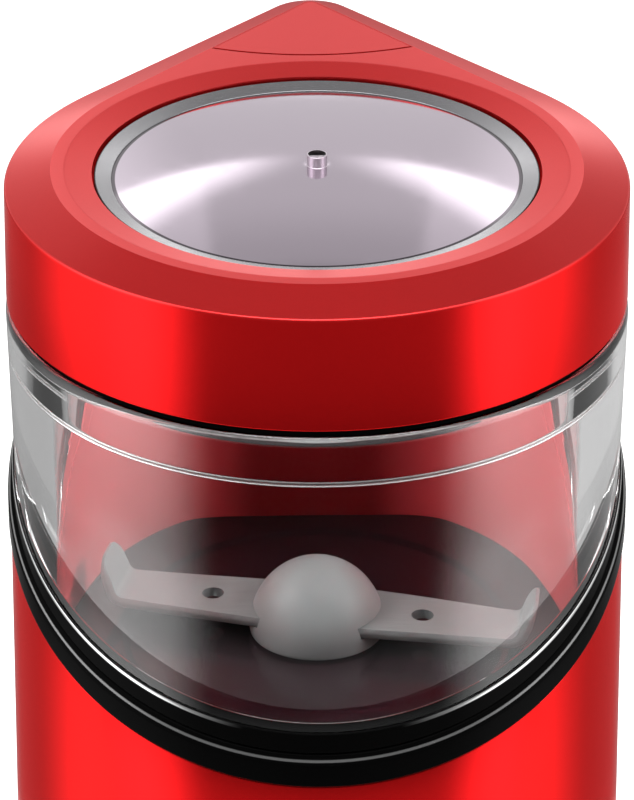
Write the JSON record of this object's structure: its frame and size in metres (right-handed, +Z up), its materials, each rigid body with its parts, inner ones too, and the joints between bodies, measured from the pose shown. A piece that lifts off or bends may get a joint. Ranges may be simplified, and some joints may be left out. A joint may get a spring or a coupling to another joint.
{
  "type": "electric coffee grinder",
  "caption": "Teardrop blade coffee grinder: red housing cut on the slant, clear cover with black trims, red lid with a domed grey disc and a press panel in its beak",
  "frame": {"origin": "on the blade's spin axis, in the plane the foot ring rests on", "axes": "+Z up along the spin axis, +Y toward the beak at the back, +X to the right seen from the front"},
  "size_m": [0.0908, 0.1096, 0.1869],
  "materials": {
    "red_plastic": "satin metallic red lacquer on plastic",
    "black_gloss": "glossy black",
    "dark_floor": "dark polished",
    "rubber": "matt",
    "white_plastic": "natural",
    "spring_steel": "drawn wire",
    "black_plastic": "fine texture",
    "screw_steel": "zinc plated",
    "die_cast": "as cast",
    "bronze": "sintered",
    "laminations": "stacked sheet",
    "copper": "enamelled wire",
    "brass": "bright",
    "carbon": "graphite",
    "shaft_steel": "ground",
    "blade_steel": "satin",
    "grey_plastic": "satin grey",
    "disc_steel": "bright satin",
    "clear_plastic": "clear moulded"
  },
  "bodies": {
    "base": {"housing_shell": "red_plastic", "housing_rim": "black_gloss", "grind_chamber": "red_plastic", "bowl_floor": "dark_floor", "shaft_seal": "rubber", "rod_seal": "rubber", "rod_spring": "spring_steel", "switch_bracket": "black_plastic", "switch_screws": "screw_steel", "micro_switch": "black_plastic", "motor_mount": "die_cast", "motor_dampers": "rubber", "motor_screws": "screw_steel", "upper_bearing": "bronze", "field_core": "laminations", "field_coils": "copper", "end_bracket": "black_plastic", "lower_bearing": "bronze", "through_bolts": "screw_steel", "brush_holders": "brass", "carbon_brushes": "carbon", "brush_springs": "spring_steel", "motor_foot": "rubber", "base_cover": "black_plastic", "foot_ring": "rubber", "base_screws": "screw_steel", "cord_gland": "rubber"},
    "lid": {"lid_cap": "red_plastic", "disc_bezel": "grey_plastic", "lid_disc": "disc_steel", "lid_gasket": "rubber", "clear_cover": "clear_plastic", "cover_rim": "black_gloss", "lid_screws": "screw_steel", "button_spring": "spring_steel"},
    "button": {"press_button": "red_plastic"},
    "rod": {"push_rod": "white_plastic"},
    "plunger": {"switch_plunger": "white_plastic"},
    "rotor": {"motor_shaft": "shaft_steel", "armature_core": "laminations", "armature_winding": "copper", "commutator": "copper", "cooling_fan": "black_plastic", "blade": "blade_steel", "blade_hub": "grey_plastic"}
  },
  "joints": [
    {"name": "lid_lift", "type": "slide", "parent": "base", "child": "lid", "axis": [0, 0, 1], "range_m": [0, 0.12]},
    {"name": "button_press", "type": "slide", "parent": "lid", "child": "button", "axis": [0, 0, -1], "range_m": [0, 0.0025], "stiffness_N_per_m": 800, "springref_m": -0.002, "deforming": ["button_spring"]},
    {"name": "rod_slide", "type": "slide", "parent": "base", "child": "rod", "axis": [0, 0, -1], "range_m": [0, 0.0025], "stiffness_N_per_m": 300, "springref_m": -0.002, "deforming": ["rod_spring"]},
    {"name": "plunger_slide", "type": "slide", "parent": "base", "child": "plunger", "axis": [0, 0, -1], "range_m": [0, 0.0025]},
    {"name": "blade_spin", "type": "hinge", "parent": "base", "child": "rotor", "pos_m": [0, 0, 0.1], "axis": [0, 0, 1], "continuous": true}
  ],
  "couplings": [
    {"joint": "rod_slide", "follows": "button_press", "ratio": 1},
    {"joint": "plunger_slide", "follows": "button_press", "ratio": 1}
  ]
}
